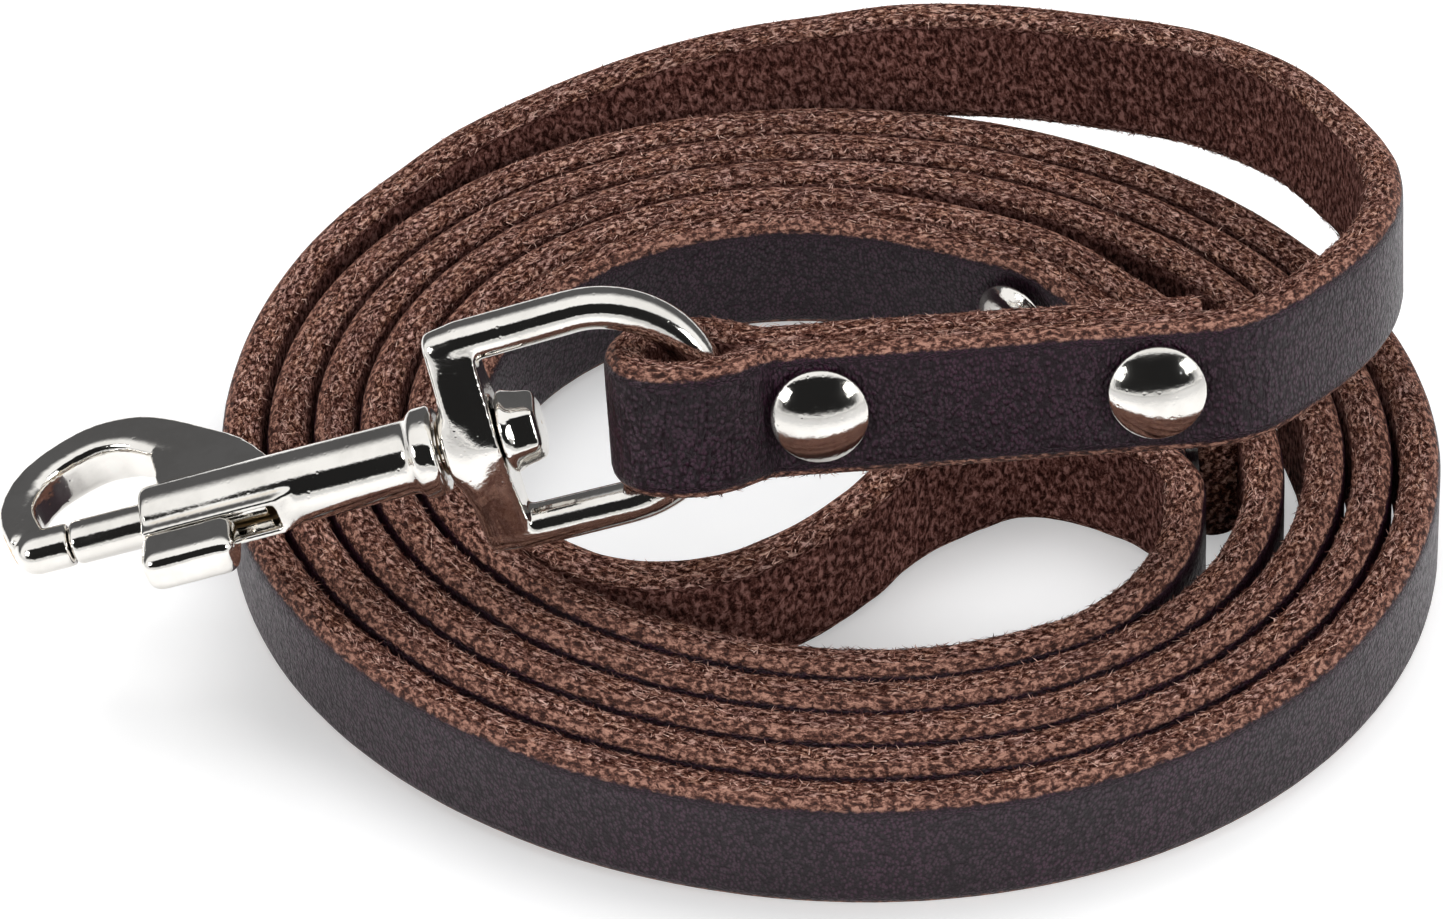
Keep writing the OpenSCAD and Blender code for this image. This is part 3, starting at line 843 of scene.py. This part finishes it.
flesh_side, tree, shader = new_material("flesh_side", roughness=0.95, specular=0.05)
felt = leather_felt(tree, per_metre=1700)
colour = shades(tree, felt["Tone"], FLESH_TONES)
colour = stain(tree, colour, felt["Strand"], most=0.4, other=FLESH_STRAND)
colour = stain(tree, colour, leather_patch(tree, per_metre=90), most=0.3, other=FLESH_DARK)
tree.links.new(colour, shader["Base Color"])
tree.links.new(bump(tree, felt["Height"], strength=1, depth_mm=0.25), shader["Normal"])
print("material:", flesh_side.name)

# %% [markdown]
# The cut edges show the fibres end on, redder in some patches and warmer in others. Near the grain
# they were rubbed smooth and pale, and that pale strip is partly wear and partly a painted highlight.
# The rest stays rough. The place out of the strap, kept on the vertices, parts the two.

# %% The cut edges
EDGE_TONES = [
    (0.14, (0.012, 0.002, 0.0012)), (0.36, (0.09, 0.031, 0.024)), (0.55, (0.25, 0.112, 0.091)),
    (0.74, (0.53, 0.28, 0.235)), (0.9, (0.95, 0.61, 0.54)),
]
WARM_TONES = [
    (0.14, (0.016, 0.0025, 0.001)), (0.36, (0.12, 0.037, 0.021)), (0.55, (0.31, 0.13, 0.084)),
    (0.74, (0.62, 0.305, 0.205)), (0.9, (0.97, 0.6, 0.45)),
]
RUBBED_AND_LIT_TONES = [(0.15, (0.035, 0.011, 0.008)), (0.85, (0.6, 0.318, 0.235))]
EDGE_STRAND, EDGE_DARK = (0.78, 0.46, 0.37), (0.07, 0.024, 0.02)

cut_edge, tree, shader = new_material("cut_edge", roughness=0.95, specular=0.03)
felt = leather_felt(tree)
colour = shades(tree, felt["Tone"], EDGE_TONES)
warm = shades(tree, felt["Tone"], WARM_TONES)
colour = tint(tree, leather_patch(tree, per_metre=300), colour, warm)
colour = stain(tree, colour, felt["Strand"], most=0.55, other=EDGE_STRAND)
outwards = plus(tree, vertex_value(tree, "out"), felt["Tone"])
# Wear and painted highlight: the edge turns paler towards the grain side.
rubbed_and_lit = spread(tree, outwards, low=0.6, high=2.6, start=0, end=0.4)
colour = tint(tree, rubbed_and_lit, colour, shades(tree, felt["Tone"], RUBBED_AND_LIT_TONES))
colour = stain(tree, colour, leather_patch(tree, per_metre=70), most=0.3, other=EDGE_DARK)
tree.links.new(colour, shader["Base Color"])
tree.links.new(bump(tree, felt["Height"], strength=1, depth_mm=0.22), shader["Normal"])
print("material:", cut_edge.name)

# %% [markdown]
# The loose fibres go from the dark dye, which reached most of them, to the pale tan of the raw hide. A
# strand is too thin to show a pattern, so its own shade, kept on its vertices, picks its colour.

# %% The fibres' colours
FIBRE_TONES = [
    (0, (0.025, 0.006, 0.004)), (0.4, (0.14, 0.053, 0.039)),
    (0.75, (0.38, 0.185, 0.145)), (1, (0.88, 0.59, 0.49)),
]

fibre_tones, tree, shader = new_material("fibre_tones", roughness=0.8, specular=0.08)
colour = shades(tree, vertex_value(tree, "shade"), FIBRE_TONES)
tree.links.new(colour, shader["Base Color"])
fibre_mesh.materials.append(fibre_tones)
print("fibres coloured:", fibre_tones.name)

# %% [markdown]
# The grain side is the outside of the hide. Its pebbles are the cells of a Voronoi texture, with a fine
# noise over them. Creases run across the strap and open where it is bent hard.

# %% The grain's pebbles and creases
PEBBLES_PER_METRE, PEBBLE_SOFT = 3400, 0.2
CREASES_PER_METRE = (900, 200, 1)
PEBBLE_RISE, CREASE_RISE = -0.6, 5

grain_leather, tree, shader = new_material("grain_leather", roughness=0.45, specular=0.34)
place = on_leather(tree)
cells = {"Vector": place, "Scale": PEBBLES_PER_METRE, "Smoothness": PEBBLE_SOFT}
pebbles = put(tree, "ShaderNodeTexVoronoi", cells, feature="SMOOTH_F1").outputs["Distance"]
fine_noise = clouds(tree, place, scale=1300, detail=5, roughness=0.65)
stretch = {"Vector": place, "Scale": CREASES_PER_METRE}
lengthways = put(tree, "ShaderNodeMapping", stretch).outputs["Vector"]
creases = clouds(tree, lengthways, scale=1, detail=4, roughness=0.6, distortion=0.8)
creased = spread(tree, vertex_value(tree, "bend"), low=0.03, high=0.16)
height = plus(tree, times(tree, pebbles, PEBBLE_RISE), fine_noise)
height = plus(tree, height, times(tree, creases, times(tree, creased, CREASE_RISE)))
tree.links.new(bump(tree, height, strength=1, depth_mm=0.3), shader["Normal"])
print("material:", grain_leather.name)

# %% [markdown]
# It is dyed a dark aubergine, and painted darker between the pebbles, as the shade that falls in
# them. At its long sides the dye ends and the rubbed tan of the corner begins. That line could follow
# the edges of cells, but it would look ruled, so the place across the strap decides, and the fine
# noise makes it wander.

# %% The grain's dye, and painted shade between its pebbles
DYE_DEEP, DYE_PALE, SHADE_BETWEEN_PEBBLES = (0.026, 0.0025, 0.016), (0.042, 0.005, 0.026), (0.004, 0.0006, 0.0025)
BARE_TONES = [
    (0.1, (0.03, 0.008, 0.005)), (0.5, (0.17, 0.069, 0.049)), (0.92, (0.55, 0.29, 0.215)),
]
BARE_FROM, BARE_TO, BARE_WANDER = 5.55, 5.9, 0.5

grain_colour = tint(tree, leather_patch(tree, per_metre=110), DYE_DEEP, DYE_PALE)
# Painted shade: the hollows between the pebbles are darkened, as if in shadow.
painted_pebble_shade = spread(tree, pebbles, low=0.25, high=0.6, start=0, end=0.85)
grain_colour = tint(tree, painted_pebble_shade, grain_colour, SHADE_BETWEEN_PEBBLES)
side = reckon(tree, "ABSOLUTE", vertex_value(tree, "across"))
wander = times(tree, fine_noise, BARE_WANDER)
bare = spread(tree, plus(tree, side, wander), BARE_FROM, BARE_TO)
corner = shades(tree, leather_felt(tree)["Tone"], BARE_TONES)
tree.links.new(tint(tree, bare, grain_colour, corner), shader["Base Color"])
print("dye ends in mm from the middle:", BARE_FROM, "to", BARE_TO)

# %% [markdown]
# The grain is waxed to a soft sheen. The wax lies on the pebbles' tops, so it is a coat that fades
# between them and stops at the bare corner. The strap then gets its three leathers, in the order that
# its cells were numbered.

# %% The grain's wax
BARE_DULLER = 0.35

shader["Coat Roughness"].default_value = 0.38
sheen = spread(tree, fine_noise, low=0.35, high=0.65, start=0.3, end=0.5)
dulled = plus(tree, sheen, times(tree, bare, BARE_DULLER))
tree.links.new(dulled, shader["Roughness"])
on_tops = spread(tree, pebbles, low=0.28, high=0.6, start=0.5, end=0)
uneven = spread(tree, fine_noise, low=0.35, high=0.6, start=0.4, end=1)
waxed = times(tree, times(tree, on_tops, uneven), reckon(tree, "SUBTRACT", 1, bare))
tree.links.new(waxed, shader["Coat Weight"])
for material in (grain_leather, cut_edge, flesh_side):
    strap_mesh.materials.append(material)
print("leather materials:", [m.name for m in strap_mesh.materials])

# %% [markdown]
# Bright nickel is nearly a mirror. What makes it read as a casting is that the mirror isn't flat: the
# metal under it sways slowly, and has a fine ripple and a few pits. In hollows the plating is thin
# and looks brassy.

# %% Nickel
NICKEL_BRIGHT, NICKEL_DULL, BRASSY = (0.92, 0.895, 0.85), (0.82, 0.795, 0.75), (0.7, 0.5, 0.27)
PITS_PER_METRE = 1100
PIT_RISE, SWAY_RISE = 0.5, 20
HOLLOW_DULLER = 0.35

nickel, tree, shader = new_material("bright_nickel", roughness=0.1, specular=0.5, metallic=1)
place = in_space(tree)
hollow = spread(tree, vertex_value(tree, "hollow"), low=0.012, high=0.06)
cloud = clouds(tree, place, scale=160, detail=4, roughness=0.6)
plated = tint(tree, spread(tree, cloud, low=0.35, high=0.65), NICKEL_BRIGHT, NICKEL_DULL)
tree.links.new(tint(tree, hollow, plated, BRASSY), shader["Base Color"])
gloss = spread(tree, cloud, low=0.35, high=0.7, start=0.05, end=0.13)
tree.links.new(plus(tree, gloss, times(tree, hollow, HOLLOW_DULLER)), shader["Roughness"])

ripple = clouds(tree, place, scale=1400, detail=4, roughness=0.6)
cells = {"Vector": place, "Scale": PITS_PER_METRE}
pits = put(tree, "ShaderNodeTexVoronoi", cells, feature="F1").outputs["Distance"]
pits = spread(tree, pits, low=0.05, high=0.22)
sway = clouds(tree, place, scale=110, detail=0)
height = plus(tree, ripple, times(tree, pits, PIT_RISE))
height = plus(tree, height, times(tree, sway, SWAY_RISE))
tree.links.new(bump(tree, height, strength=0.18, depth_mm=0.1), shader["Normal"])
metal_pieces = castings + [spring]
for piece in metal_pieces:
    piece.data.materials.clear()
    piece.data.materials.append(nickel)
print("nickel on", len(metal_pieces), "pieces")

# %% [markdown]
# The studio has a pale floor that runs to the horizon. For the camera it is white, with the leash's
# shadow on it: a soft glow tops up what the lamps give, and less of it in the middle of the coil adds
# painted shade to the leash's real shadow there. Bright metal mirrors the floor as well, and sees a
# painted pool of light round the leash, a glow that only mirrors see, and a darker floor further out.

# %% The floor
WHITE = (1, 1, 1)
FLOOR_HALF = 6
FLOOR_DARKER, FLOOR_PALER = (0.71, 0.71, 0.72), (0.75, 0.75, 0.75)
POOL_FROM, POOL_TO, POOL_INSIDE, POOL_OUTSIDE = 0.09, 0.24, 0.75, 0.1
GLOW_FROM, GLOW_TO, GLOW_INSIDE, GLOW_OUTSIDE = 0.045, 0.08, 0.36, 0.62


def seen(tree, in_mirrors):
    """1 where the camera or a clear piece looks, less in mirrors, and 0 for the light itself."""
    path = put(tree, "ShaderNodeLightPath").outputs
    mirrored = times(tree, path["Is Glossy Ray"], in_mirrors)
    looks = reckon(tree, "MAXIMUM", path["Is Camera Ray"], mirrored)
    return reckon(tree, "MAXIMUM", looks, path["Is Transmission Ray"])


floor_white, tree, shader = new_material("floor_white", roughness=0.9, specular=0.1)
place = in_space(tree)
grit = clouds(tree, place, scale=300, detail=4)
tree.links.new(tint(tree, grit, FLOOR_DARKER, FLOOR_PALER), shader["Base Color"])
shader["Emission Color"].default_value = (*WHITE, 1)
away = put(tree, "ShaderNodeVectorMath", {0: place}, operation="LENGTH").outputs["Value"]
# Painted light: the glow that mirrors see is brightest in a pool round the leash.
pool = spread(tree, away, POOL_FROM, POOL_TO, POOL_INSIDE, POOL_OUTSIDE)
# Painted shade: the camera's glow is weaker near the middle of the coil.
glow = spread(tree, away, GLOW_FROM, GLOW_TO, GLOW_INSIDE, GLOW_OUTSIDE)
tree.links.new(times(tree, seen(tree, pool), glow), shader["Emission Strength"])

bm = bmesh.new()
bmesh.ops.create_grid(bm, x_segments=1, y_segments=1, size=FLOOR_HALF)
floor_mesh = finished_mesh("floor", bm)
floor_mesh.materials.append(floor_white)
floor = add_object("floor", floor_mesh)
print("floor in m:", 2 * FLOOR_HALF)

# %% [markdown]
# The light is one wide soft lamp above and behind, a weaker one in front, and a small one at each
# side. Only the side lamps show in the metal: they give it its small highlights.

# %% The lamps
LAMPS = [  # name, place and size in metres, watts, and whether mirrors see it
    ("overhead", (0.05, 0.4, 1.0), (1.3, 0.9), 10, False),
    ("front", (0, -1.0, 0.7), (0.8, 0.5), 2.2, False),
    ("left", (-0.85, -0.6, 0.5), (0.3, 0.3), 3, True),
    ("right", (0.85, -0.6, 0.5), (0.3, 0.3), 3, True),
]


def softbox(name, place, size, watts, mirrored):
    light = bpy.data.lights.new(name, "AREA")
    light.shape = "RECTANGLE"
    light.size, light.size_y = size
    light.energy = watts
    lamp = add_object(name, light)
    place = Vector(place)
    facing = (-place).to_track_quat("-Z", "Y").to_matrix().to_4x4()
    lamp.matrix_world = Matrix.Translation(place) @ facing
    lamp.visible_glossy = mirrored
    return lamp


lamps = [softbox(*row) for row in LAMPS]
print("lamps:", [lamp.name for lamp in lamps])

# %% [markdown]
# The camera sees white all round. Bright metal shows whatever stands around it, so mirrors see a room:
# white above, a dark band in front, above the floor, where a studio has nothing but the camera, and a
# grey wall low at the back. The room is told by the rise of a direction, from the front over the top.

# %% The surroundings
BAND_FROM, BAND_TO, BAND_SOFT = math.radians(4), math.radians(60), math.radians(3)
BAND_ASIDE, BAND_END = 0.75, 0.9
WALL_FROM, WALL_SOFT = math.radians(116), math.radians(16)
BAND_DARK, WALL_GREY, FILL_GREY = (0.015, 0.015, 0.015), (0.1, 0.1, 0.103), (0.15, 0.15, 0.15)

world = bpy.data.worlds.new("studio")
bpy.context.scene.world = world
world.use_nodes = True
tree = world.node_tree


def past(value, limit, soft, start=0, end=1):
    return spread(tree, value, limit - soft, limit + soft, start, end)


direction = put(tree, "ShaderNodeTexCoord").outputs["Generated"]
way = put(tree, "ShaderNodeSeparateXYZ", {"Vector": direction}).outputs
ahead = times(tree, way["Y"], -1)
rise = reckon(tree, "ARCTAN2", way["Z"], ahead)
band = times(tree, past(rise, BAND_FROM, BAND_SOFT), past(rise, BAND_TO, BAND_SOFT, 1, 0))
aside = reckon(tree, "ABSOLUTE", way["X"])
band = times(tree, band, spread(tree, aside, BAND_ASIDE, BAND_END, 1, 0))
room = tint(tree, past(rise, WALL_FROM, WALL_SOFT), WHITE, WALL_GREY)
room = tint(tree, band, room, BAND_DARK)
path = put(tree, "ShaderNodeLightPath").outputs
mirror = tint(tree, path["Is Glossy Ray"], FILL_GREY, room)
straight = reckon(tree, "MAXIMUM", path["Is Camera Ray"], path["Is Transmission Ray"])
tree.links.new(tint(tree, straight, mirror, WHITE), tree.nodes["Background"].inputs["Color"])
bpy.context.scene.view_settings.view_transform = "Standard"
print("world:", world.name)
